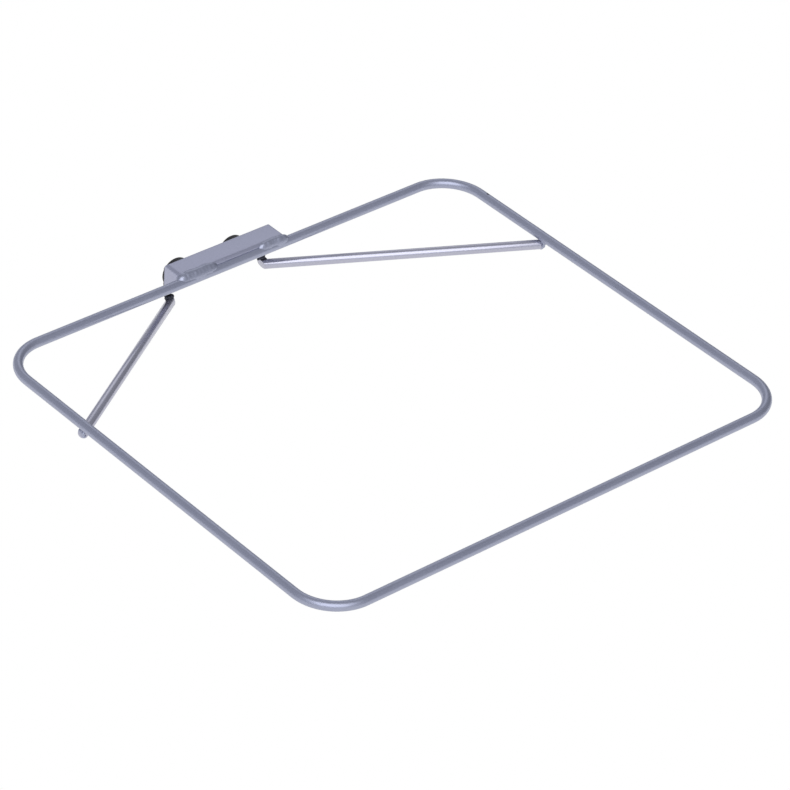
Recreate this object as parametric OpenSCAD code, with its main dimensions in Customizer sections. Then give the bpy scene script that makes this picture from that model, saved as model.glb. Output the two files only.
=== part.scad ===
// Bin bag holder: a bent bar hoop welded to a folded bracket, held by two
// braces underneath, with a pad and two clamping knobs behind the bracket.
// X runs along the back bar, +Y points at the surface that holds it, +Z is up.
// The origin is on the pad's rear face, midway between the two studs.

/* [Hoop] */
// Outer width of the hoop
hoop_w = 460; // [300:5:600]
// Outer depth of the hoop, front to back
hoop_depth = 400; // [260:5:520]
// Diameter of the round bar
bar_d = 8; // [6:0.5:12]
// Bend radius of the corners, on the bar's centre line
corner_r = 36; // [20:1:80]

/* [Bracket] */
// Width of the bracket over its cheeks
bracket_w = 104; // [90:1:160]
// Depth of its top plate, from the middle of the back bar to the rear face
plate_depth = 21; // [16:1:30]
// Height of the bracket, from its top face to its lower edge
bracket_h = 28; // [26:1:40]
// Thickness of the sheet
sheet_t = 3; // [2:0.5:4]
// Outer radius of the folds
fold_r = 4; // [4:0.5:8]
// Clearance of the cheeks round the back bar
notch_gap = 0.1; // [0.1:0.1:1]
// How far behind the bar's middle the cheeks' sloping edge starts
cheek_front = 4.5; // [4:0.5:8]

/* [Back pad] */
// Thickness of the pad
pad_t = 3; // [2:0.5:6]
// How far the pad's sides stay inside the bracket's
pad_inset = 1.5; // [0:0.5:6]
// Height of the pad between its feet
pad_h = 26.4; // [20:0.2:34]
// Distance of the pad's top below the bracket's top face
pad_drop = 4; // [0:0.5:8]
// Width of the two feet at the pad's lower corners
foot_w = 8.5; // [4:0.5:14]
// Length of the feet
foot_h = 1.8; // [0.2:0.2:2]
// Radius of the pad's upper corners
pad_r = 3; // [1:0.5:6]

/* [Braces] */
// Outer diameter of the brace tube
brace_d = 8; // [6:0.5:10]
// Wall of the brace tube
brace_wall = 1.5; // [1:0.25:2.5]
// How far in from the bracket's sides the tubes' rear ends lie
brace_end_in = 6.9; // [4:0.1:16]
// How far behind the back bar's middle the tubes' rear ends lie
brace_end_y = 18.9; // [14:0.1:19]
// How far below the bracket's lower edge the tubes' rear ends lie
brace_end_drop = 8.6; // [8.4:0.1:14]
// Where the left brace crosses its side bar, in front of the back bar
brace_left_reach = 106.6; // [70:1:160]
// Where the right brace crosses its side bar, in front of the back bar
brace_right_reach = 111.5; // [70:1:160]
// Gap between a brace and the side bar above it, filled by the weld
brace_gap = 0.6; // [0.2:0.1:1]

/* [Welds] */
// Radius of the beads along the top plate's front edge
bead_r = 3.6; // [3.2:0.1:4.4]
// How far in from the bracket's side the left bead starts
bead_left_in = 1.2; // [0:0.2:6]
// Length of the left bead
bead_left_len = 35; // [15:1:45]
// How far the right bead runs past the bracket's side
bead_right_out = 3.4; // [0:0.2:6]
// Length of the right bead
bead_right_len = 27; // [15:1:45]
// Radius of the welds between the braces and the bracket
rear_weld_r = 3.4; // [3:0.1:4.5]
// Length of the welds between the braces and the bracket
rear_weld_len = 7; // [4:0.5:12]
// How far these welds reach past the tubes' rear ends
rear_weld_in = 1.6; // [0:0.2:3]
// Radius of the welds between the braces and the side bars
side_weld_r = 2.6; // [2:0.1:4]
// Length of the welds between the braces and the side bars
side_weld_len = 8; // [4:0.5:12]
// How far outside the side bar's middle these welds lie
side_weld_out = 1; // [0:0.2:3]

/* [Studs and washers] */
// How far in from the bracket's sides the two studs lie
stud_in = 24; // [16:0.5:30]
// Diameter of the studs
stud_d = 5; // [4:1:6]
// Height of the back bar's middle above the studs
stud_drop = 18.2; // [14:0.1:18.4]
// How far the studs stand out behind the pad
stud_reach = 12; // [10:0.5:20]
// Diametral clearance of the pad's holes on the studs
pad_hole_gap = 0.6; // [0.2:0.1:2]
// Diameter of the washers
washer_d = 10; // [9:0.5:16]
// Thickness of the washers
washer_t = 1; // [0.8:0.1:2]
// Diametral clearance of the washers on the studs
washer_gap = 0.2; // [0.1:0.1:0.3]

/* [Knobs] */
// Diameter of the knob's head
knob_d = 25.5; // [18:0.5:36]
// Thickness of the knob's head
head_t = 8; // [5:0.5:14]
// Diameter of the knob's hub
hub_d = 12; // [11:0.5:16]
// Length of the hub in front of the head
hub_len = 5.5; // [3:0.5:12]
// Radius of the head's rounded edges
rim_r = 1.5; // [0.5:0.1:2.4]
// Number of flutes round the head
flutes = 36; // [12:1:48]
// Radius of the flutes
flute_r = 0.8; // [0.4:0.1:1.2]
// Depth of the flutes
flute_depth = 0.3; // [0.2:0.05:0.8]
// Diameter of the brass insert
insert_d = 8; // [7:0.5:10]
// Diametral clearance of the insert on the stud
thread_gap = 0.1; // [0.04:0.02:0.18]
// Space left between the stud's end and the bottom of the insert's hole
tip_gap = 0.5; // [0.3:0.1:1]

/* [Hidden] */
$fn = 64;
bar_r = bar_d / 2;
brace_r = brace_d / 2;
// middle of the back bar
bar_y = -plate_depth - pad_t;
bar_z = stud_drop;
// middle of the side bars and of the front bar
side_x = hoop_w / 2 - bar_r;
front_y = bar_y - hoop_depth + bar_d;
// faces of the bracket
top_z = bar_z + bar_r + sheet_t;
low_z = top_z - bracket_h;
rear_y = -pad_t;
// upper and lower edge of the pad
pad_top = top_z - pad_drop;
pad_low = pad_top - pad_h;
// distance of the studs from the middle of the bracket
stud_x = bracket_w / 2 - stud_in;
// ends of the braces' centre lines
brace_end_x = bracket_w / 2 - brace_end_in;
brace_rear = [brace_end_x, bar_y + brace_end_y, low_z - brace_end_drop];
brace_side_z = bar_z - bar_r - brace_r - brace_gap;
// where the knobs start
knob_y = washer_t;
insert_end = stud_reach + tip_gap;
past = 1;

// a cylinder along X, from x0 to x1
module rod_x(r, x0, x1) {
    translate([x0, 0, 0]) rotate([0, 90, 0]) cylinder(r = r, h = x1 - x0);
}

// a cylinder along Y, from y0 to y1
module rod_y(r, y0, y1) {
    translate([0, y0, 0]) rotate([-90, 0, 0]) cylinder(r = r, h = y1 - y0);
}

// a cylinder from a to b
module rod_between(a, b, r) {
    run = b - a;
    len = norm(run);
    translate(a)
        rotate([0, acos(run[2] / len), atan2(run[1], run[0])])
            cylinder(r = r, h = len);
}

// a weld bead along X: a rod with round ends
module bead_along_x(r, len) {
    rod_x(r, r - len / 2, len / 2 - r);
    for (s = [-1, 1]) translate([s * (len / 2 - r), 0, 0]) sphere(r = r);
}

// one bent corner of the hoop; its centre is at the origin, and it turns
// from +X to +Y
module bend() {
    rotate_extrude(angle = 90) translate([corner_r, 0]) circle(r = bar_r);
}

module hoop() {
    color("#a9adbf")
    translate([0, 0, bar_z]) {
        for (y = [bar_y, front_y])
            translate([0, y, 0]) rod_x(bar_r, corner_r - side_x, side_x - corner_r);
        for (s = [-1, 1])
            translate([s * side_x, 0, 0]) rod_y(bar_r, front_y + corner_r, bar_y - corner_r);
        for (i = [0:3]) {
            sx = i == 0 || i == 3 ? 1 : -1;
            y = i < 2 ? bar_y - corner_r : front_y + corner_r;
            translate([sx * (side_x - corner_r), y, 0]) rotate([0, 0, 90 * i]) bend();
        }
    }
}

// what a fold of radius r takes off the upper right corner of a square sheet
module corner_cut(r) {
    difference() {
        translate([-r, -r]) square(r + past);
        translate([-r, -r]) circle(r = r);
    }
}

// the bracket's side view, +Y to the right: the rear fold on top and the
// cheeks' sloping edge below
module side_view() {
    slope_z = bar_z - bar_r - sheet_t;
    difference() {
        polygon([[bar_y, top_z], [rear_y, top_z], [rear_y, low_z], [rear_y - sheet_t, low_z],
                 [bar_y + cheek_front, slope_z], [bar_y, slope_z]]);
        translate([rear_y, top_z]) corner_cut(fold_r);
    }
}

// the hollow's side view, open to the front and below
module hollow_side_view() {
    y1 = rear_y - sheet_t;
    z1 = top_z - sheet_t;
    difference() {
        translate([bar_y - past, low_z - past]) square([y1 - bar_y + past, z1 - low_z + past]);
        translate([y1, z1]) corner_cut(fold_r - sheet_t);
    }
}

// the bracket's front view with its two side folds, shrunk by inset
module front_view(inset) {
    x1 = bracket_w / 2 - inset;
    z1 = top_z - inset;
    difference() {
        translate([-x1, low_z - past]) square([2 * x1, z1 - low_z + past]);
        for (side = [0, 1]) mirror([side, 0]) translate([x1, z1]) corner_cut(fold_r - inset);
    }
}

// what a side view and a front view have in common
module folded(inset) {
    intersection() {
        translate([-bracket_w / 2 - past, 0, 0])
            rotate([90, 0, 90])
                linear_extrude(height = bracket_w + 2 * past) children();
        translate([0, past, 0])
            rotate([90, 0, 0])
                linear_extrude(height = plate_depth + pad_t + 3 * past) front_view(inset);
    }
}

// the back bar's way into a cheek: a round seat, open below
module bar_slot(side) {
    r = bar_r + notch_gap;
    w = sheet_t + past;
    translate([side * (bracket_w + past - sheet_t) / 2, bar_y, bar_z]) {
        rod_x(r, -w / 2, w / 2);
        translate([-w / 2, -r, -bracket_h]) cube([w, 2 * r, bracket_h]);
    }
}

module bracket_sheet() {
    difference() {
        folded(0) side_view();
        folded(sheet_t) hollow_side_view();
        for (side = [-1, 1]) bar_slot(side);
    }
}

module bracket() {
    color("#b4b6c8") bracket_sheet();
}

// side +1 is the right brace; it runs from under the bracket's rear corner
// outwards and forwards to the underside of the side bar
function brace_from(side) = [side * brace_rear[0], brace_rear[1], brace_rear[2]];
function brace_to(side) =
    [side * side_x, bar_y - (side < 0 ? brace_left_reach : brace_right_reach), brace_side_z];
function brace_unit(side) = (brace_to(side) - brace_from(side)) / norm(brace_to(side) - brace_from(side));

// the brace's outer form: cut square in front, and along the bracket's side
// at the rear
module brace_run(side) {
    difference() {
        rod_between(brace_from(side) - brace_unit(side) * 3 * brace_d, brace_to(side), brace_r);
        translate([side < 0 ? -brace_end_x : -4 * brace_d, brace_rear[1] - plate_depth, brace_rear[2] - bracket_h])
            cube([brace_end_x + 4 * brace_d, 3 * plate_depth, 2 * bracket_h]);
    }
}

module brace(side) {
    color("#a9adbf")
    difference() {
        brace_run(side);
        rod_between(brace_from(side) - brace_unit(side) * 4 * brace_d,
                    brace_to(side) + brace_unit(side) * past, brace_r - brace_wall);
    }
}

// the bead fills the step between the bar's crown and the plate's front edge;
// nothing of it gets behind the bar's crown, into the cheeks' clearance
module plate_bead(x0, len) {
    color("#a9adbf")
    difference() {
        translate([x0 + len / 2, bar_y, bar_z + bar_r + sheet_t / 2]) bead_along_x(bead_r, len);
        translate([0, bar_y, bar_z]) {
            rod_x(bar_r, -side_x, side_x);
            translate([-side_x, 0, 0]) cube([2 * side_x, plate_depth, bar_r + notch_gap]);
        }
        bracket_sheet();
    }
}

module rear_weld(side) {
    color("#8d90a2")
    difference() {
        translate([side * (brace_end_x + rear_weld_len / 2 - rear_weld_in), rear_y - sheet_t / 2,
                   (low_z + brace_rear[2] + brace_r) / 2])
            bead_along_x(rear_weld_r, rear_weld_len);
        bracket_sheet();
        brace_run(side);
        translate([-bracket_w, rear_y, low_z - bracket_h]) cube([2 * bracket_w, plate_depth, 2 * bracket_h]);
    }
}

module side_weld(side) {
    color("#a9adbf")
    difference() {
        translate([side * (side_x + side_weld_out), brace_to(side)[1],
                   bar_z - bar_r - (brace_r + brace_gap) / 2])
            rotate([0, 0, 90]) bead_along_x(side_weld_r, side_weld_len);
        translate([side * side_x, 0, bar_z]) rod_y(bar_r, front_y, bar_y);
        brace_run(side);
    }
}

// front view of the pad, feet included
module pad_outline() {
    w = bracket_w / 2 - pad_inset;
    translate([-w, pad_low]) square([2 * w, pad_h - pad_r]);
    translate([pad_r - w, pad_low]) square([2 * (w - pad_r), pad_h]);
    for (s = [-1, 1]) {
        translate([s * (w - pad_r), pad_top - pad_r]) circle(r = pad_r);
        translate([s * (w - foot_w / 2) - foot_w / 2, pad_low - foot_h]) square([foot_w, foot_h + past]);
    }
}

module back_pad() {
    color("#1b1d22")
    difference() {
        rotate([90, 0, 0]) linear_extrude(height = pad_t) pad_outline();
        for (s = [-1, 1])
            translate([s * stud_x, 0, 0])
                rod_y((stud_d + pad_hole_gap) / 2, -pad_t - past, past);
    }
}

module stud(side) {
    color("#b9bbc0")
    translate([side * stud_x, 0, 0]) rod_y(stud_d / 2, rear_y, stud_reach);
}

module washer(side) {
    color("#b9bbc0")
    translate([side * stud_x, 0, 0])
        difference() {
            rod_y(washer_d / 2, 0, washer_t);
            rod_y((stud_d + washer_gap) / 2, -past, washer_t + past);
        }
}

// half section of the knob: radius to the right, length upwards
module knob_section() {
    r = knob_d / 2;
    square([hub_d / 2, hub_len + past]);
    translate([0, hub_len]) square([r - rim_r, head_t]);
    translate([0, hub_len + rim_r]) square([r, head_t - 2 * rim_r]);
    for (y = [hub_len + rim_r, hub_len + head_t - rim_r])
        translate([r - rim_r, y]) circle(r = rim_r);
}

module knob(side) {
    color("#15161a")
    translate([side * stud_x, knob_y, 0])
        difference() {
            rotate([-90, 0, 0]) rotate_extrude() knob_section();
            rod_y(insert_d / 2, -past, insert_end - knob_y);
            for (i = [0:flutes - 1])
                rotate([0, i * 360 / flutes, 0])
                    translate([knob_d / 2 + flute_r - flute_depth, 0, 0])
                        rod_y(flute_r, hub_len - past, hub_len + head_t + past);
        }
}

module insert(side) {
    color("#c9a45c")
    translate([side * stud_x, 0, 0])
        difference() {
            rod_y(insert_d / 2, knob_y, insert_end);
            rod_y((stud_d + thread_gap) / 2, knob_y - past, insert_end + past);
        }
}

hoop();
bracket();
brace(-1);  // brace_left
brace(1);  // brace_right
plate_bead(bead_left_in - bracket_w / 2, bead_left_len);  // bead_left
plate_bead(bracket_w / 2 + bead_right_out - bead_right_len, bead_right_len);  // bead_right
rear_weld(-1);  // rear_weld_left
rear_weld(1);  // rear_weld_right
side_weld(-1);  // side_weld_left
side_weld(1);  // side_weld_right
back_pad();
stud(-1);  // stud_left
stud(1);  // stud_right
washer(-1);  // washer_left
washer(1);  // washer_right
knob(-1);  // knob_left
knob(1);  // knob_right
insert(-1);  // insert_left
insert(1);  // insert_right
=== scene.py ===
"""A bin bag holder: a bent bar hoop on a folded bracket, with two braces, weld beads and two clamping knobs.

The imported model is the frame. Each section below is one piece, in the order in which the holder is put together.
"""

import math
import random

import bmesh
import bpy
from mathutils import Matrix, Vector


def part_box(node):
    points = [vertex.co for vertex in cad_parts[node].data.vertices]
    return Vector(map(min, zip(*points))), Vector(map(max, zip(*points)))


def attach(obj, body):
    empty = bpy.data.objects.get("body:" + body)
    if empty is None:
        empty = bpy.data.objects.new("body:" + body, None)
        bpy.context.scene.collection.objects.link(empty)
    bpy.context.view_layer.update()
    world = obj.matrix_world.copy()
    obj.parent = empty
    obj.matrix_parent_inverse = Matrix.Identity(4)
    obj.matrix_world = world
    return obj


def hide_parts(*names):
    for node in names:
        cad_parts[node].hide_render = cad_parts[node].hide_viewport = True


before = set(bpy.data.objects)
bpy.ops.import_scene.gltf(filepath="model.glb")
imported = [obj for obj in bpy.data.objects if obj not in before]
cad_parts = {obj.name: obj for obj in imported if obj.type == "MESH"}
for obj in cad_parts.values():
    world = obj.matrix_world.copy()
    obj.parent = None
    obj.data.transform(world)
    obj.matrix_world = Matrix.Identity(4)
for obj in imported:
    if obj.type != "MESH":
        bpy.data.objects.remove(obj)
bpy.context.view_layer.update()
bpy.ops.object.select_all(action="DESELECT")
mm = 0.001

# The camera stands in front of the hoop's left corner, well above it, and far
# off, so that the hoop's sides stay almost parallel. Its angles were fitted to
# the straight bars of the photograph.
camera_azimuth = math.radians(-42.4217)
camera_elevation = math.radians(35.2497)
camera_roll = math.radians(4.0697)
camera_place = Vector((-1.828578, -2.223852, 1.921578))
focal_length_px = 4368.6
picture_px = 790
sensor_mm = 36.0

look_back = Vector((math.sin(camera_azimuth) * math.cos(camera_elevation),
                    -math.cos(camera_azimuth) * math.cos(camera_elevation),
                    math.sin(camera_elevation)))
level_right = Vector((0, 0, 1)).cross(look_back).normalized()
level_up = look_back.cross(level_right)
turn = Matrix.Rotation(camera_roll, 3, look_back)
camera_right = turn @ level_right
camera_up = turn @ level_up
bpy.ops.object.camera_add()
camera = bpy.context.object
camera.matrix_world = Matrix((
    (camera_right.x, camera_up.x, look_back.x, camera_place.x),
    (camera_right.y, camera_up.y, look_back.y, camera_place.y),
    (camera_right.z, camera_up.z, look_back.z, camera_place.z),
    (0, 0, 0, 1)))
camera.data.sensor_width = sensor_mm
camera.data.lens = sensor_mm * focal_length_px / picture_px
camera.data.clip_end = 20
bpy.context.scene.camera = camera


# The hoop is one length of 8 mm round steel bar, bent to a rounded rectangle
# and butt-welded under the bracket. It is powder-coated with the rest after
# welding: a silver-grey coat with fine metal flake, satin, slightly uneven.
def linear(code, alpha=1.0):
    """An sRGB hex colour as linear light."""
    parts = [int(code[i:i + 2], 16) / 255 for i in (1, 3, 5)]
    return [c / 12.92 if c <= 0.04045 else ((c + 0.055) / 1.055) ** 2.4 for c in parts] + [alpha]


def add(tree, kind, links=(), **settings):
    """Adds a node: settings name its properties or its inputs, and links are (input, node, output)."""
    node = tree.nodes.new(kind)
    for key, value in settings.items():
        name = key.replace("_", " ").title().replace("Ior", "IOR")
        if name in node.inputs:
            node.inputs[name].default_value = value
        else:
            setattr(node, key, value)
    for socket, source, output in links:
        tree.links.new(source.outputs[output], node.inputs[socket])
    return node


def new_material(name):
    """An empty material with its output and Object coordinates."""
    material = bpy.data.materials.new(name)
    material.use_nodes = True
    tree = material.node_tree
    tree.nodes.clear()
    return material, tree, tree.nodes.new("ShaderNodeOutputMaterial"), tree.nodes.new("ShaderNodeTexCoord")


def finish(tree, output, shader):
    tree.links.new(shader.outputs["BSDF"], output.inputs["Surface"])


def powder_coat(name, shade, light_shade, roughness, chips=(), peel_depth=0.05):
    """Flake powder coat, sprayed and baked: satin, with a cloudy tone and a faint orange peel about 1.5 mm wide.

    chips are places where the coat is knocked off down to dark steel: (point, radius)."""
    material, tree, output, place = new_material(name)
    cloud = add(tree, "ShaderNodeTexNoise", [("Vector", place, "Object")], scale=22.0, detail=3.0)
    flake = add(tree, "ShaderNodeTexNoise", [("Vector", place, "Object")], scale=1600.0, detail=1.0)
    tone = add(tree, "ShaderNodeMix", [("Factor", cloud, "Fac")], data_type="RGBA")
    tone.inputs["A"].default_value = linear(shade)
    tone.inputs["B"].default_value = linear(light_shade)
    glint = add(tree, "ShaderNodeMapRange", [("Value", flake, "Fac")], from_min=0.35, from_max=0.65,
                to_min=0.96, to_max=1.04)
    colour = add(tree, "ShaderNodeVectorMath", [(0, tone, "Result"), ("Scale", glint, "Result")], operation="SCALE")
    last = (colour, "Vector")
    for point, radius in chips:
        apart = add(tree, "ShaderNodeVectorMath", [(0, place, "Object")], operation="DISTANCE")
        apart.inputs[1].default_value = point
        edge = add(tree, "ShaderNodeMapRange", [("Value", apart, "Value")], from_min=radius * 0.8,
                   from_max=radius * 1.15)
        bare = add(tree, "ShaderNodeMix", [("Factor", edge, "Result"), ("B", last[0], last[1])], data_type="RGBA")
        bare.inputs["A"].default_value = linear("#3a3c46")
        last = (bare, "Result")
    peel = add(tree, "ShaderNodeTexNoise", [("Vector", place, "Object")], scale=650.0, detail=2.0)
    gloss = add(tree, "ShaderNodeMapRange", [("Value", cloud, "Fac")], to_min=roughness - 0.04,
                to_max=roughness + 0.04)
    bump = add(tree, "ShaderNodeBump", [("Height", peel, "Fac")], strength=peel_depth, distance=0.0002)
    shader = add(tree, "ShaderNodeBsdfPrincipled", [("Base Color", last[0], last[1]), ("Roughness", gloss, "Result"),
                                                    ("Normal", bump, "Normal")], metallic=0.8)
    finish(tree, output, shader)
    return material


def deselect():
    if bpy.context.object and bpy.context.object.mode != "OBJECT":
        bpy.ops.object.mode_set(mode="OBJECT")
    bpy.ops.object.select_all(action="DESELECT")


def pick(piece, verts=None, faces=None, edges=None):
    """In edit mode, selects only what the test accepts; in object mode it leaves the piece active."""
    if piece.mode != "EDIT":
        deselect()
        bpy.context.view_layer.objects.active = piece
        piece.select_set(True)
        bpy.ops.object.mode_set(mode="EDIT")
    kind = "VERT" if verts else "FACE" if faces else "EDGE"
    bpy.ops.mesh.select_mode(type=kind)
    bpy.ops.mesh.select_all(action="DESELECT")
    shape = bmesh.from_edit_mesh(piece.data)
    chosen = shape.verts if verts else shape.faces if faces else shape.edges
    test = verts or faces or edges
    for element in chosen:
        if test(element):
            element.select_set(True)
    shape.select_flush_mode()
    bmesh.update_edit_mesh(piece.data)


def settle(piece, angle=30):
    """Back in object mode: the place goes into the mesh, and the round faces are shaded smooth."""
    deselect()
    bpy.context.view_layer.objects.active = piece
    piece.select_set(True)
    bpy.ops.object.transform_apply(location=True, rotation=True, scale=True)
    bpy.ops.object.shade_smooth_by_angle(angle=math.radians(angle))
    piece.select_set(False)
    return piece


def modify(piece, kind, **settings):
    """Adds a modifier with its settings and applies it."""
    deselect()
    bpy.context.view_layer.objects.active = piece
    piece.select_set(True)
    modifier = piece.modifiers.new(kind, kind)
    for key, value in settings.items():
        setattr(modifier, key, value)
    bpy.ops.object.modifier_apply(modifier=modifier.name)
    piece.select_set(False)


def dress(piece, material, body, slot, *replaced):
    piece.data.materials.clear()
    piece.data.materials.append(material)
    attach(piece, body)
    if replaced:
        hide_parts(*replaced)


hoop_low, hoop_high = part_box("hoop")
bar_r = (hoop_high.z - hoop_low.z) / 2
bar_y, bar_z = hoop_high.y - bar_r, hoop_high.z - bar_r
side_x = hoop_high.x - bar_r
front_y = hoop_low.y + bar_r
corner_r = 36 * mm
bar_sides = 64
bend_steps = 24

bpy.ops.mesh.primitive_circle_add(vertices=bar_sides, radius=bar_r, location=(0, bar_y, bar_z),
                                  rotation=(0, math.radians(90), 0))
hoop = bpy.context.object
hoop.name = "bent_bar_hoop"
bpy.ops.object.transform_apply(location=True, rotation=True, scale=True)
bpy.ops.object.mode_set(mode="EDIT")
bpy.ops.mesh.select_all(action="SELECT")
heading = Vector((1, 0, 0))
end = Vector((0, bar_y, bar_z))
for corner in ((side_x, bar_y), (side_x, front_y), (-side_x, front_y), (-side_x, bar_y)):
    bend_start = Vector((corner[0], corner[1], bar_z)) - heading * corner_r
    bpy.ops.mesh.extrude_region_move(TRANSFORM_OT_translate={"value": bend_start - end})
    turned = Vector((heading.y, -heading.x, 0))
    bpy.ops.mesh.spin(steps=bend_steps, angle=math.radians(90), center=bend_start + turned * corner_r,
                      axis=(0, 0, 1))
    end = bend_start + (heading + turned) * corner_r
    heading = turned
bpy.ops.mesh.extrude_region_move(TRANSFORM_OT_translate={"value": Vector((0, bar_y, bar_z)) - end})
bpy.ops.mesh.select_all(action="SELECT")
bpy.ops.mesh.remove_doubles(threshold=0.01 * mm)
bpy.ops.mesh.normals_make_consistent(inside=False)
settle(hoop)
chip = Vector((side_x + 0.8 * mm, bar_y - 44.7 * mm, bar_z + bar_r))
coat = powder_coat("satin flake powder coat on bar", "#a0a4b8", "#abafc2", 0.36, [(chip, 1.3 * mm)])
dress(hoop, coat, "holder", "hoop", "hoop")


# The braces are two drawn steel tubes, 8 mm with a 1.5 mm wall. Each is cut along the bracket's side at its
# rear end and square in front, and is tack-welded at both ends; the coat is the hoop's, but its colour here is
# painted lighter to stand in for the brighter light on the braces.
brace_r, brace_wall = 4 * mm, 1.5 * mm
brace_rear = Vector((45.1 * mm, bar_y + 18.9 * mm, bar_z - 29.6 * mm))
brace_side_z = bar_z - bar_r - brace_r - 0.6 * mm
brace_ends = {}


def brace_tube(side, reach, nudge):
    """A tube along the brace's line, cut at the plane of its rear end, and nudged as it was welded."""
    rear = Vector((side * brace_rear.x, brace_rear.y, brace_rear.z)) + nudge
    front = Vector((side * side_x, bar_y - reach, brace_side_z)) + nudge
    line = front - rear
    start = rear - line.normalized() * 3 * brace_r
    run = front - start
    bpy.ops.mesh.primitive_cylinder_add(vertices=48, radius=brace_r, depth=run.length, end_fill_type="NGON",
                                        location=(start + front) / 2,
                                        rotation=run.to_track_quat("Z", "Y").to_euler())
    tube = bpy.context.object
    bpy.ops.object.transform_apply(location=True, rotation=True, scale=True)
    bpy.ops.object.mode_set(mode="EDIT")
    bpy.ops.mesh.select_all(action="SELECT")
    bpy.ops.mesh.bisect(plane_co=rear, plane_no=(side, 0.05, 0.25), clear_inner=True, use_fill=True)
    modify(tube, "SOLIDIFY", thickness=brace_wall, offset=-1)
    modify(tube, "BEVEL", width=0.3 * mm, segments=2, angle_limit=math.radians(50))
    return rear, front, settle(tube)


# Painted light: the tube coat is a lighter copy of the hoop's coat and stands in for the light on the braces.
tube_coat_painted_lighter = powder_coat("satin flake powder coat on tube, painted lighter", "#b4b4c3", "#bdbdcb", 0.22, peel_depth=0.012)
for name, side, reach, nudge in (("left", -1, 106.6 * mm, (0, 0.6 * mm, 0.25 * mm)),
                                 ("right", 1, 111.5 * mm, (0, 0, 0.42 * mm))):
    rear, front, tube = brace_tube(side, reach, Vector(nudge))
    tube.name = "brace_tube_" + name
    brace_ends[name] = (side, rear, front)
    dress(tube, tube_coat_painted_lighter, "holder", "brace", "brace_" + name)


# The bracket is 3 mm steel sheet, laser-cut and folded: a top plate with the rear wall and two cheeks turned
# down from it. Each cheek has a round seat over the back bar and a sloping lower edge.
sheet_low, sheet_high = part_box("bracket")
sheet_t, fold_r = 3 * mm, 3 * mm
bpy.ops.mesh.primitive_cube_add(size=1, location=(sheet_low + sheet_high) / 2, scale=sheet_high - sheet_low)
bracket = bpy.context.object
bracket.name = "folded_bracket"
bpy.ops.object.transform_apply(location=True, rotation=True, scale=True)
pick(bracket, faces=lambda f: f.normal.y < -0.9 or f.normal.z < -0.9)
bpy.ops.mesh.delete(type="FACE")
modify(bracket, "SOLIDIFY", thickness=sheet_t, offset=-1, use_even_offset=True)
slope_start = Vector((0, bar_y + 4.5 * mm, bar_z - bar_r - sheet_t))
slope_end = Vector((0, sheet_high.y - sheet_t, sheet_low.z))
slope = slope_end - slope_start
pick(bracket, faces=lambda f: True)
bpy.ops.mesh.bisect(plane_co=slope_start, plane_no=(0, -slope.z, slope.y), clear_inner=True)
for side in (-1, 1):
    pick(bracket, edges=lambda e: e.is_boundary and all(side * v.co.x > 0 for v in e.verts))
    bpy.ops.mesh.edge_face_add()
bpy.ops.mesh.select_all(action="SELECT")
bpy.ops.mesh.normals_make_consistent(inside=False)
near = 0.01 * mm
pick(bracket, edges=lambda e: all(v.co.z > sheet_high.z - near for v in e.verts)
     and (all(v.co.y > sheet_high.y - near for v in e.verts)
          or all(abs(v.co.x) > sheet_high.x - near for v in e.verts)))
bpy.ops.mesh.bevel(offset=fold_r, segments=8, affect="EDGES")
deselect()


def cut(piece, tool):
    """Takes the tool's shape out of the piece, and the tool out of the scene."""
    modify(piece, "BOOLEAN", operation="DIFFERENCE", object=tool, solver="EXACT")
    deselect()
    bpy.data.objects.remove(tool)


seat_r = bar_r + 0.1 * mm
for side in (-1, 1):
    cheek_x = side * (sheet_high.x + mm - sheet_t) / 2 + side * (sheet_high.x - sheet_t) / 2
    bpy.ops.mesh.primitive_cylinder_add(vertices=64, radius=seat_r, depth=sheet_t + mm,
                                        location=(cheek_x, bar_y, bar_z), rotation=(0, math.radians(90), 0))
    cut(bracket, bpy.context.object)
    bpy.ops.mesh.primitive_cube_add(size=1, location=(cheek_x, bar_y, bar_z - 10 * mm),
                                    scale=(sheet_t + mm, 2 * seat_r, 20 * mm))
    cut(bracket, bpy.context.object)
modify(bracket, "BEVEL", width=0.35 * mm, segments=2, angle_limit=math.radians(50))
settle(bracket)
# Painted light: the sheet coat is a lighter copy of the hoop's coat and stands in for the light on the plate and
# cheeks.
sheet_coat_painted_lighter = powder_coat("satin flake powder coat on sheet, painted lighter", "#aaacc2", "#b2b5c9", 0.38)
dress(bracket, sheet_coat_painted_lighter, "holder", "bracket", "bracket")


# The beads are laid by hand along the step between the bar's crown and the plate's front edge, one near each
# end. The coat lies over them: rows of low, overlapping ripples, a little uneven.
def weld_row(name, points, radii, long=0.9, wide=1.0, smooth=3):
    """Overlapping lumps of weld metal, one for each pause of the torch, run into one."""
    lumps = []
    for point, radius in zip(points, radii):
        bpy.ops.mesh.primitive_uv_sphere_add(segments=24, ring_count=16, radius=radius, location=point)
        lump = bpy.context.object
        lump.scale = (long, wide, 1)
        lumps.append(lump)
    deselect()
    for lump in lumps:
        lump.select_set(True)
    bpy.context.view_layer.objects.active = lumps[0]
    bpy.ops.object.transform_apply(location=False, rotation=False, scale=True)
    bpy.ops.object.join()
    row = bpy.context.object
    row.name = name
    bpy.ops.object.transform_apply(location=True, rotation=True, scale=True)
    modify(row, "REMESH", mode="VOXEL", voxel_size=0.3 * mm)
    modify(row, "SMOOTH", factor=0.5, iterations=smooth)
    return settle(row, 180)


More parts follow.
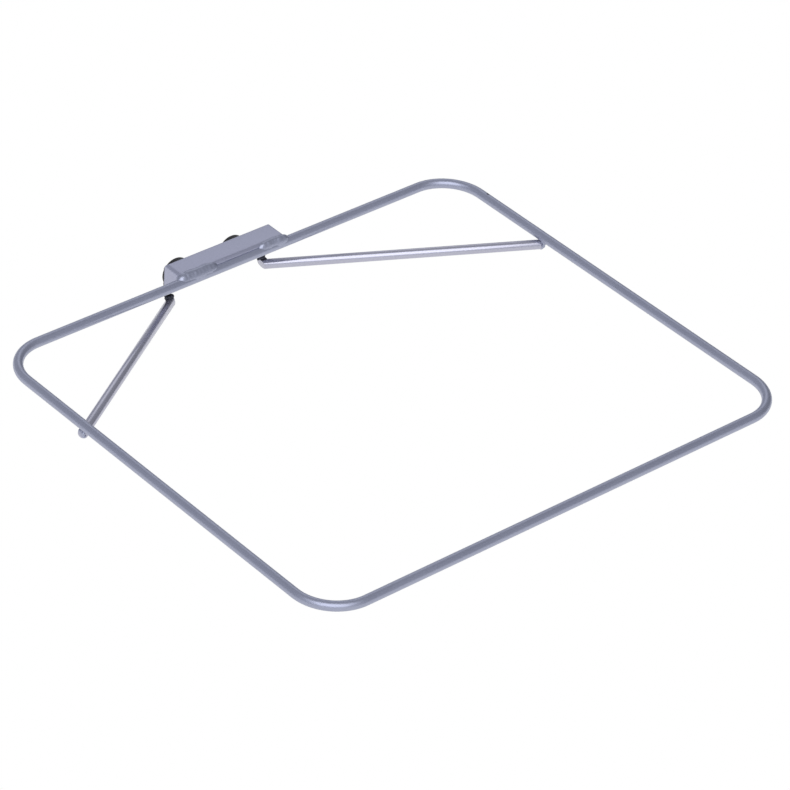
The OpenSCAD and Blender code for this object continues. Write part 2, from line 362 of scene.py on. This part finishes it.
chance = random.Random(7)
weld_coat = powder_coat("satin flake powder coat on weld", "#a0a4b8", "#abafc2", 0.36)
bead_h = 7.4 * mm
for name, x0, x1, lap, wide in (("left", -53.6 * mm, -15.8 * mm, 1.8 * mm, 0.74),
                                ("right", 25.8 * mm, 54.6 * mm, 0.6 * mm, 0.6)):
    steps = round((x1 - x0 - 1.5 * bead_h) / (3.4 * mm))
    points, radii = [], []
    for i in range(steps + 1):
        along = x0 + 0.75 * bead_h + (x1 - x0 - 1.5 * bead_h) * i / steps
        size = 0.93 if i in (0, steps) else 1.0 - 0.035 * chance.random()
        points.append((along, bar_y + lap + chance.uniform(-0.4, 0.4) * mm, bar_z + 0.3 * mm))
        radii.append(bead_h * size)
    row = weld_row("weld_bead_" + name, points, radii, 1.05, wide, 14)
    pick(row, faces=lambda f: True)
    bpy.ops.mesh.bisect(plane_co=(0, 0, bar_z), plane_no=(0, 0, 1), clear_inner=True, use_fill=True,
                        threshold=0.001 * mm)
    deselect()
    dress(row, weld_coat, "holder", "weld", "bead_" + name)


# Short welds join the braces' rear ends to the bracket's rear wall, and their front ends to the side bars.
# The rear ones sit deep in the corner under the back bar, and are coloured near-black as painted shade for that
# corner.
# Painted shade: a near-black, mottled colour on the rear welds stands in for the shade in the nook.
material, tree, output, place = new_material("painted shade on rear weld")
shade_mottle_noise = add(tree, "ShaderNodeTexNoise", [("Vector", place, "Object")], scale=700.0, detail=4.0)
tone = add(tree, "ShaderNodeMix", [("Factor", shade_mottle_noise, "Fac")], data_type="RGBA")
tone.inputs["A"].default_value = linear("#26272c")
tone.inputs["B"].default_value = linear("#4c4e58")
bump = add(tree, "ShaderNodeBump", [("Height", shade_mottle_noise, "Fac")], strength=0.3, distance=0.0003)
shader = add(tree, "ShaderNodeBsdfPrincipled", [("Base Color", tone, "Result"), ("Normal", bump, "Normal")],
             metallic=0.6, roughness=0.45)
finish(tree, output, shader)
rear_weld_painted_shade = material

rear_lumps = {
    "left": (((-50.9, -5.2, -6.2), 1.8), ((-48.6, -5.6, -6.4), 2.0), ((-46.0, -6.0, -5.7), 1.9), ((-50.3, -6.0, -8.5), 1.8),
             ((-48.3, -6.6, -9.2), 2.0), ((-46.7, -6.9, -9.8), 1.9)),
    "right": (((41.8, -4.4, -5.3), 1.1), ((43.6, -4.8, -4.9), 1.4), ((45.3, -5.0, -4.8), 1.5), ((46.8, -5.0, -5.2), 1.5),
              ((48.0, -5.0, -6.5), 1.4), ((49.1, -5.2, -7.9), 1.4), ((50.1, -5.6, -9.2), 1.3))}
side_lumps = {
    "left": (((0, -2, 0), 2.0), ((0.3, 0, 0.2), 2.4), ((0, 1.6, 0), 2.0), ((0.8, -1.6, -3.6), 1.5), ((0.6, 0, -2), 2.2)),
    "right": (((0, -2, 0), 2.2), ((-0.6, 0, 0.2), 2.5), ((-1.6, 1.8, -0.4), 2.2), ((-0.4, -1.4, -2.6), 2.3),
              ((-1.4, -0.6, -4.0), 2.2))}
for name, (side, rear, front) in brace_ends.items():
    points = [Vector(point) * mm for point, radius in rear_lumps[name]]
    row = weld_row("rear_weld_row_" + name, points, [radius * mm for point, radius in rear_lumps[name]])
    dress(row, rear_weld_painted_shade, "holder", "weld", "rear_weld_" + name)
    middle = Vector((side * (side_x + mm), front.y, bar_z - bar_r - (brace_r + 0.6 * mm) / 2))
    points = [middle + Vector(point) * mm for point, radius in side_lumps[name]]
    row = weld_row("side_weld_row_" + name, points, [radius * mm for point, radius in side_lumps[name]], smooth=8)
    dress(row, weld_coat, "holder", "weld", "side_weld_" + name)


# The pad is 3 mm black rubber, die-cut, and glued to the bracket's rear wall with the studs through it. It
# spreads the clamp's pressure, and its two feet reach below the wall beside the braces.
pad_low, pad_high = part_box("back_pad")
foot_w, foot_h, pad_r = 6.3 * mm, 1.8 * mm, 3 * mm
pad_floor = pad_low.z + foot_h
bpy.ops.mesh.primitive_cube_add(size=1, location=((pad_low.x + pad_high.x) / 2, (pad_low.y + pad_high.y) / 2,
                                                  (pad_floor + pad_high.z) / 2),
                                scale=(pad_high.x - pad_low.x, pad_high.y - pad_low.y, pad_high.z - pad_floor))
pad = bpy.context.object
pad.name = "rubber_back_pad"
bpy.ops.object.transform_apply(location=True, rotation=True, scale=True)
for x in (pad_low.x + foot_w, pad_high.x - foot_w):
    pick(pad, faces=lambda f: True)
    bpy.ops.mesh.bisect(plane_co=(x, 0, 0), plane_no=(1, 0, 0))
pick(pad, faces=lambda f: f.normal.z < -0.9 and abs(f.calc_center_median().x) > pad_high.x - foot_w)
bpy.ops.mesh.extrude_region_move(TRANSFORM_OT_translate={"value": (0, 0, -foot_h)})
pick(pad, edges=lambda e: all(abs(v.co.x) > pad_high.x - near and v.co.z > pad_high.z - near for v in e.verts))
bpy.ops.mesh.bevel(offset=pad_r, segments=6, affect="EDGES")
stud_x = (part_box("stud_right")[0].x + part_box("stud_right")[1].x) / 2
for side in (-1, 1):
    deselect()
    bpy.ops.mesh.primitive_cylinder_add(vertices=48, radius=2.8 * mm, depth=4 * sheet_t,
                                        location=(side * stud_x, 0, 0), rotation=(math.radians(90), 0, 0))
    cut(pad, bpy.context.object)
modify(pad, "BEVEL", width=0.4 * mm, segments=2, angle_limit=math.radians(40))
settle(pad)
material, tree, output, place = new_material("die-cut black rubber")
dust = add(tree, "ShaderNodeTexNoise", [("Vector", place, "Object")], scale=90.0, detail=4.0)
tone = add(tree, "ShaderNodeMix", [("Factor", dust, "Fac")], data_type="RGBA")
tone.inputs["A"].default_value = linear("#17181b")
tone.inputs["B"].default_value = linear("#25262a")
grain = add(tree, "ShaderNodeTexNoise", [("Vector", place, "Object")], scale=1400.0, detail=2.0)
bump = add(tree, "ShaderNodeBump", [("Height", grain, "Fac")], strength=0.25, distance=0.0002)
shader = add(tree, "ShaderNodeBsdfPrincipled", [("Base Color", tone, "Result"), ("Normal", bump, "Normal")],
             roughness=0.62, ior=1.52)
finish(tree, output, shader)
dress(pad, material, "holder", "pad", "back_pad")


# The studs are M5 threaded rod, zinc-plated, welded into the rear wall. The thread's 0.8 mm pitch is cut by
# turning one tooth round the core.
def zinc_plate(name, roughness):
    """Bright zinc: cold grey, with the faint cloudy spangle of a plated part."""
    material, tree, output, place = new_material(name)
    spangle = add(tree, "ShaderNodeTexNoise", [("Vector", place, "Object")], scale=260.0, detail=2.0)
    tone = add(tree, "ShaderNodeMix", [("Factor", spangle, "Fac")], data_type="RGBA")
    tone.inputs["A"].default_value = linear("#b3b5b8")
    tone.inputs["B"].default_value = linear("#c8cacc")
    gloss = add(tree, "ShaderNodeMapRange", [("Value", spangle, "Fac")], to_min=roughness - 0.05,
                to_max=roughness + 0.07)
    shader = add(tree, "ShaderNodeBsdfPrincipled", [("Base Color", tone, "Result"), ("Roughness", gloss, "Result")],
                 metallic=1.0)
    finish(tree, output, shader)
    return material


def copy_across(piece, name, shift):
    """A second piece like the first, with its own mesh."""
    deselect()
    bpy.context.view_layer.objects.active = piece
    piece.select_set(True)
    bpy.ops.object.duplicate(linked=False)
    bpy.ops.transform.translate(value=shift)
    bpy.ops.object.transform_apply(location=True, rotation=True, scale=True)
    twin = bpy.context.object
    twin.name = name
    twin.select_set(False)
    return twin


stud_low, stud_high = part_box("stud_left")
pitch, tooth_h = 0.8 * mm, 0.49 * mm
stud_r = (stud_high.x - stud_low.x) / 2
core_r = stud_r - tooth_h + 0.03 * mm
bpy.ops.mesh.primitive_circle_add(vertices=3, radius=1, rotation=(math.radians(90), math.radians(90), 0))
tooth = bpy.context.object
bpy.ops.object.transform_apply(location=False, rotation=True, scale=False)
pick(tooth, verts=lambda v: True)
reach_x = max(v.co.x for v in tooth.data.vertices) - min(v.co.x for v in tooth.data.vertices)
reach_z = max(v.co.z for v in tooth.data.vertices) - min(v.co.z for v in tooth.data.vertices)
bpy.ops.transform.resize(value=(tooth_h / reach_x, 1, pitch * 0.99 / reach_z))
modify_x = stud_r - max(v.co.x for v in bmesh.from_edit_mesh(tooth.data).verts)
bpy.ops.transform.translate(value=(modify_x, 0, 0))
turns = 17
modify(tooth, "SCREW", axis="Z", steps=28, render_steps=28, iterations=turns, screw_offset=pitch,
       use_merge_vertices=False)
pick(tooth, verts=lambda v: True)
bpy.ops.mesh.fill_holes(sides=3)
bpy.ops.mesh.select_all(action="SELECT")
bpy.ops.mesh.normals_make_consistent(inside=False)
deselect()
core_len = stud_high.y - stud_low.y
bpy.ops.mesh.primitive_cylinder_add(vertices=40, radius=core_r, depth=core_len, location=(0, 0, core_len / 2 - 0.6 * mm))
core = bpy.context.object
bpy.ops.object.transform_apply(location=True, rotation=True, scale=True)
modify(core, "BEVEL", width=0.4 * mm, segments=2, angle_limit=math.radians(50))
deselect()
tooth.select_set(True)
core.select_set(True)
bpy.context.view_layer.objects.active = core
bpy.ops.object.join()
stud = bpy.context.object
stud.name = "threaded_stud_left"
stud.rotation_euler = (math.radians(-90), 0, 0)
stud.location = (-stud_x, stud_low.y + 0.6 * mm, 0)
settle(stud, 25)
zinc = zinc_plate("bright zinc plate on thread", 0.3)
dress(stud, zinc, "holder", "stud", "stud_left")
twin = copy_across(stud, "threaded_stud_right", (2 * stud_x, 0, 0))
dress(twin, zinc, "holder", "stud", "stud_right")


# The washers are stamped steel, 10 mm across and 1 mm thick, zinc-plated, with the slightly rolled edge that
# the punch leaves.
washer_low, washer_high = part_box("washer_left")
washer_r = (washer_high.x - washer_low.x) / 2
hole_r = 2.6 * mm
bpy.ops.mesh.primitive_circle_add(vertices=64, radius=washer_r, location=(-stud_x, washer_high.y, 0),
                                  rotation=(math.radians(-90), 0, 0))
washer = bpy.context.object
washer.name = "stamped_washer_left"
bpy.ops.object.transform_apply(location=True, rotation=True, scale=True)
bpy.ops.object.mode_set(mode="EDIT")
bpy.ops.mesh.select_all(action="SELECT")
bpy.ops.mesh.extrude_region_move()
bpy.ops.transform.resize(value=(hole_r / washer_r, 1, hole_r / washer_r),
                         center_override=(-stud_x, washer_high.y, 0))
bpy.ops.mesh.select_all(action="SELECT")
bpy.ops.mesh.normals_make_consistent(inside=False)
bpy.ops.object.mode_set(mode="OBJECT")
outward = washer.data.polygons[0].normal.y
modify(washer, "SOLIDIFY", thickness=washer_high.y - washer_low.y, offset=-1 if outward > 0 else 1)
modify(washer, "BEVEL", width=0.14 * mm, segments=3, angle_limit=math.radians(50))
pick(washer, verts=lambda v: True)
bpy.ops.mesh.normals_make_consistent(inside=False)
settle(washer)
plate = zinc_plate("bright zinc plate on washer", 0.25)
dress(washer, plate, "washer_left", "washer", "washer_left")
twin = copy_across(washer, "stamped_washer_right", (2 * stud_x, 0, 0))
dress(twin, plate, "washer_right", "washer", "washer_right")


# The knobs are black nylon, moulded round a brass insert: a short hub, and a thick head with rounded edges and
# 36 shallow flutes for the fingers. The rear face has a shallow round recess from the mould.
knob_low, knob_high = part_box("knob_left")
knob_r = (knob_high.z - knob_low.z) / 2
head_t, hub_r, hub_len, rim_r = 8 * mm, 6 * mm, 5.5 * mm, 1.5 * mm
insert_r, insert_end = 4 * mm, 12.5 * mm
flutes, flute_r, flute_depth = 36, 0.8 * mm, 0.3 * mm
head_middle = Vector((-stud_x, knob_high.y - head_t / 2, 0))
quarter = math.radians(-90)
bpy.ops.mesh.primitive_cylinder_add(vertices=144, radius=knob_r, depth=head_t, location=head_middle,
                                    rotation=(quarter, 0, 0))
knob = bpy.context.object
knob.name = "fluted_knob_left"
bpy.ops.object.transform_apply(location=True, rotation=True, scale=True)
pick(knob, edges=lambda e: abs(e.verts[0].co.y - e.verts[1].co.y) < near)
bpy.ops.mesh.bevel(offset=rim_r, segments=6, affect="EDGES")
pick(knob, faces=lambda f: f.normal.y > 0.999 and f.calc_area() > 100 * mm * mm)
bpy.ops.mesh.inset(thickness=knob_r - rim_r - 8 * mm)
bpy.ops.mesh.inset(thickness=0.5 * mm, depth=-0.5 * mm)
pick(knob, faces=lambda f: f.normal.y < -0.999 and f.calc_area() > 100 * mm * mm)
bpy.ops.mesh.inset(thickness=knob_r - rim_r - hub_r)
bpy.ops.mesh.extrude_region_move(TRANSFORM_OT_translate={"value": (0, -hub_len, 0)})
bpy.ops.mesh.inset(thickness=hub_r - insert_r)
bpy.ops.mesh.extrude_region_move(TRANSFORM_OT_translate={"value": (0, insert_end - knob_low.y, 0)})
deselect()
bpy.ops.mesh.primitive_cylinder_add(vertices=20, radius=flute_r, depth=2 * head_t,
                                    location=head_middle + Vector((knob_r + flute_r - flute_depth, 0, 0)),
                                    rotation=(quarter, 0, 0))
cutter = bpy.context.object
bpy.ops.object.transform_apply(location=True, rotation=True, scale=True)
bpy.ops.object.mode_set(mode="EDIT")
bpy.ops.mesh.select_all(action="SELECT")
bpy.ops.mesh.spin(steps=flutes - 1, dupli=True, angle=math.radians(360) * (flutes - 1) / flutes,
                  center=head_middle, axis=(0, 1, 0))
bpy.ops.object.mode_set(mode="OBJECT")
cut(knob, cutter)
pick(knob, verts=lambda v: True)
bpy.ops.mesh.remove_doubles(threshold=0.03 * mm)
bpy.ops.mesh.dissolve_degenerate(threshold=0.01 * mm)
bpy.ops.mesh.select_all(action="SELECT")
bpy.ops.mesh.normals_make_consistent(inside=False)
settle(knob, 35)
material, tree, output, place = new_material("moulded black nylon")
flow = add(tree, "ShaderNodeTexNoise", [("Vector", place, "Object")], scale=60.0, detail=2.0)
tone = add(tree, "ShaderNodeMix", [("Factor", flow, "Fac")], data_type="RGBA")
tone.inputs["A"].default_value = linear("#141518")
tone.inputs["B"].default_value = linear("#1d1e22")
grain = add(tree, "ShaderNodeTexNoise", [("Vector", place, "Object")], scale=1800.0, detail=1.0)
bump = add(tree, "ShaderNodeBump", [("Height", grain, "Fac")], strength=0.2, distance=0.00015)
shader = add(tree, "ShaderNodeBsdfPrincipled", [("Base Color", tone, "Result"), ("Normal", bump, "Normal")],
             roughness=0.42, ior=1.53)
finish(tree, output, shader)
nylon = material
dress(knob, nylon, "knob_left", "knob", "knob_left")
twin = copy_across(knob, "fluted_knob_right", (2 * stud_x, 0, 0))
dress(twin, nylon, "knob_right", "knob", "knob_right")


# The inserts are turned brass bushes with a tapped blind hole, moulded into the knobs; fine rings are left by
# the lathe.
insert_low, insert_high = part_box("insert_left")
insert_front = insert_low.y + 0.08 * mm
bpy.ops.mesh.primitive_cylinder_add(vertices=64, radius=insert_r - 0.02 * mm, depth=insert_high.y - insert_front,
                                    location=(-stud_x, (insert_front + insert_high.y) / 2, 0),
                                    rotation=(quarter, 0, 0))
insert = bpy.context.object
insert.name = "brass_insert_left"
bpy.ops.object.transform_apply(location=True, rotation=True, scale=True)
pick(insert, faces=lambda f: f.normal.y < -0.9)
bpy.ops.mesh.inset(thickness=insert_r - 2.95 * mm)
bpy.ops.mesh.inset(thickness=0.38 * mm, depth=-0.4 * mm)
bpy.ops.mesh.extrude_region_move(TRANSFORM_OT_translate={"value": (0, 10.6 * mm, 0)})
settle(insert, 30)
material, tree, output, place = new_material("turned brass")
rings = add(tree, "ShaderNodeTexWave", [("Vector", place, "Object")], wave_type="BANDS", bands_direction="Y",
            scale=1200.0, distortion=0.6, detail=1.0)
tone = add(tree, "ShaderNodeMix", [("Factor", rings, "Fac")], data_type="RGBA")
tone.inputs["A"].default_value = linear("#b9913f")
tone.inputs["B"].default_value = linear("#cfa858")
shader = add(tree, "ShaderNodeBsdfPrincipled", [("Base Color", tone, "Result")], metallic=1.0, roughness=0.28)
finish(tree, output, shader)
brass = material
dress(insert, brass, "knob_left", "insert", "insert_left")
twin = copy_across(insert, "brass_insert_right", (2 * stud_x, 0, 0))
dress(twin, brass, "knob_right", "insert", "insert_right")


# The floor is a plain white sweep well below the holder, in a light grey room. One large soft lamp stands behind
# the camera; the floor sends light back up, so that the bars are brighter below than above.
floor_z = -0.42
deselect()
bpy.ops.mesh.primitive_plane_add(size=14, location=(0, 0, floor_z))
floor = bpy.context.object
floor.name = "studio_floor"


def white_to_eye_and_gloss(tree, shade, output):
    """Shows white to the camera and in the metal; otherwise the surface is what shade makes it."""
    seen = tree.nodes.new("ShaderNodeLightPath")
    either = add(tree, "ShaderNodeMath", [(0, seen, "Is Camera Ray"), (1, seen, "Is Glossy Ray")], operation="MAXIMUM")
    either = add(tree, "ShaderNodeMath", [(0, either, "Value"), (1, seen, "Is Transmission Ray")],
                 operation="MAXIMUM")
    white = add(tree, "ShaderNodeEmission", color=(1, 1, 1, 1), strength=1.0)
    mixed = add(tree, "ShaderNodeMixShader", [("Fac", either, "Value")])
    tree.links.new(shade.outputs[0], mixed.inputs[1])
    tree.links.new(white.outputs[0], mixed.inputs[2])
    tree.links.new(mixed.outputs[0], output.inputs["Surface"])


material, tree, output, place = new_material("matt white studio floor")
white_to_eye_and_gloss(tree, add(tree, "ShaderNodeBsdfDiffuse", color=linear("#f4f4f4")), output)
floor.data.materials.append(material)

world = bpy.context.scene.world or bpy.data.worlds.new("studio")
bpy.context.scene.world = world
world.use_nodes = True
tree = world.node_tree
tree.nodes.clear()
output = tree.nodes.new("ShaderNodeOutputWorld")
seen = tree.nodes.new("ShaderNodeLightPath")
sky = tree.nodes.new("ShaderNodeTexCoord")
height = add(tree, "ShaderNodeSeparateXYZ", [("Vector", sky, "Generated")])
above = add(tree, "ShaderNodeMapRange", [("Value", height, "Z")], from_min=0.1, from_max=0.95, to_min=0.62,
            to_max=0.5)
right = add(tree, "ShaderNodeMapRange", [("Value", height, "X")], from_min=0.45, from_max=1.0, to_min=1.0,
            to_max=0.5)
light = add(tree, "ShaderNodeMath", [(0, above, "Result"), (1, right, "Result")], operation="MULTIPLY")
toward = add(tree, "ShaderNodeVectorMath", [(0, sky, "Generated")], operation="DOT_PRODUCT")
toward.inputs[1].default_value = (-0.62, -0.62, 0.48)
glow = add(tree, "ShaderNodeMapRange", [("Value", toward, "Value")], from_min=0.55, from_max=0.92, to_min=1.0,
           to_max=1.7)
light = add(tree, "ShaderNodeMath", [(0, light, "Value"), (1, glow, "Result")], operation="MULTIPLY")
room = add(tree, "ShaderNodeBackground", [("Strength", light, "Value")], color=linear("#e9ebf2"))
white = add(tree, "ShaderNodeBackground", color=(1, 1, 1, 1), strength=1.0)
mixed = add(tree, "ShaderNodeMixShader", [("Fac", seen, "Is Camera Ray")])
tree.links.new(room.outputs[0], mixed.inputs[1])
tree.links.new(white.outputs[0], mixed.inputs[2])
tree.links.new(mixed.outputs[0], output.inputs["Surface"])


def soft_lamp(name, place, target, size, power):
    bpy.ops.object.light_add(type="AREA", location=place)
    lamp = bpy.context.object
    lamp.name = name
    lamp.data.shape = "SQUARE"
    lamp.data.size = size
    lamp.data.energy = power
    lamp.rotation_euler = (Vector(target) - Vector(place)).to_track_quat("-Z", "Y").to_euler()
    lamp.select_set(False)


soft_lamp("lamp_behind_camera", (-2.0, -2.4, 3.2), (0, -0.2, 0), 4.6, 92)
soft_lamp("lamp_behind_right", (2.2, 2.4, 2.5), (0, -0.2, 0), 2.0, 6.5)
bpy.context.scene.view_settings.view_transform = "Standard"
